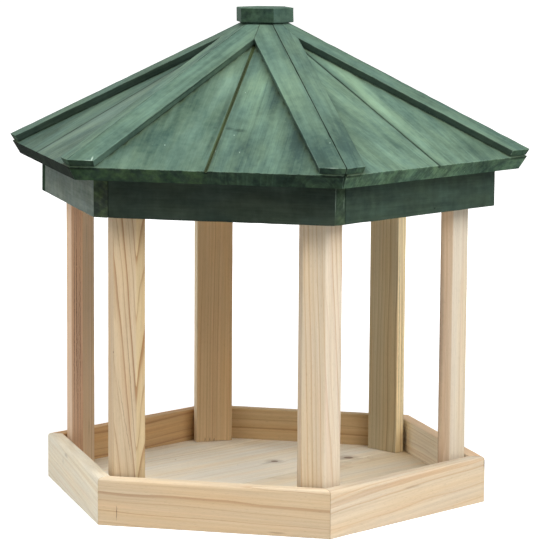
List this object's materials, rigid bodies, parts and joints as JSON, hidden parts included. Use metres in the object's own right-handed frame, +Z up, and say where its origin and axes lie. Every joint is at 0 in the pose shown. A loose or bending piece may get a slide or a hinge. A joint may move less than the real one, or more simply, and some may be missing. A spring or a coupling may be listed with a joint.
{
  "type": "bird table",
  "caption": "Hexagonal garden bird table: a rimmed feeding tray, corner posts and a pitched roof of green-stained boards with hip strips and a cap.",
  "frame": {"origin": "middle of the tray's underside, on the surface that the table stands on", "axes": "+Z up; +X towards the tray's right corner and -Y towards the front side, so two corners lie on X and two flats face -Y and +Y"},
  "size_m": [0.5156, 0.4466, 0.4709],
  "materials": {
    "bare_wood": "planed, bare",
    "stained_wood": "thin matt green stain",
    "zinc_steel": "zinc plated"
  },
  "bodies": {
    "root": {"floor_board_left": "bare_wood", "floor_board_middle": "bare_wood", "floor_board_right": "bare_wood", "rim_board_front": "bare_wood", "rim_board_right_front": "bare_wood", "rim_board_right_rear": "bare_wood", "rim_board_rear": "bare_wood", "rim_board_left_rear": "bare_wood", "rim_board_left_front": "bare_wood", "post_right": "bare_wood", "post_rear_right": "bare_wood", "post_rear_left": "bare_wood", "post_left": "bare_wood", "post_front_left": "bare_wood", "post_front_right": "bare_wood", "post_screw_right": "zinc_steel", "post_screw_rear_right": "zinc_steel", "post_screw_rear_left": "zinc_steel", "post_screw_left": "zinc_steel", "post_screw_front_left": "zinc_steel", "post_screw_front_right": "zinc_steel", "top_rail_front": "bare_wood", "top_rail_right_front": "bare_wood", "top_rail_right_rear": "bare_wood", "top_rail_rear": "bare_wood", "top_rail_left_rear": "bare_wood", "top_rail_left_front": "bare_wood", "fascia_board_front": "stained_wood", "fascia_board_right_front": "stained_wood", "fascia_board_right_rear": "stained_wood", "fascia_board_rear": "stained_wood", "fascia_board_left_rear": "stained_wood", "fascia_board_left_front": "stained_wood", "roof_board_front_left": "stained_wood", "roof_board_front_right": "stained_wood", "roof_board_right_front_left": "stained_wood", "roof_board_right_front_right": "stained_wood", "roof_board_right_rear_left": "stained_wood", "roof_board_right_rear_right": "stained_wood", "roof_board_rear_left": "stained_wood", "roof_board_rear_right": "stained_wood", "roof_board_left_rear_left": "stained_wood", "roof_board_left_rear_right": "stained_wood", "roof_board_left_front_left": "stained_wood", "roof_board_left_front_right": "stained_wood", "hip_strip_front_left": "stained_wood", "hip_strip_front_right": "stained_wood", "hip_strip_right_front_left": "stained_wood", "hip_strip_right_front_right": "stained_wood", "hip_strip_right_rear_left": "stained_wood", "hip_strip_right_rear_right": "stained_wood", "hip_strip_rear_left": "stained_wood", "hip_strip_rear_right": "stained_wood", "hip_strip_left_rear_left": "stained_wood", "hip_strip_left_rear_right": "stained_wood", "hip_strip_left_front_left": "stained_wood", "hip_strip_left_front_right": "stained_wood", "peak_block": "bare_wood", "cap": "stained_wood", "cap_screw": "zinc_steel"}
  },
  "joints": []
}
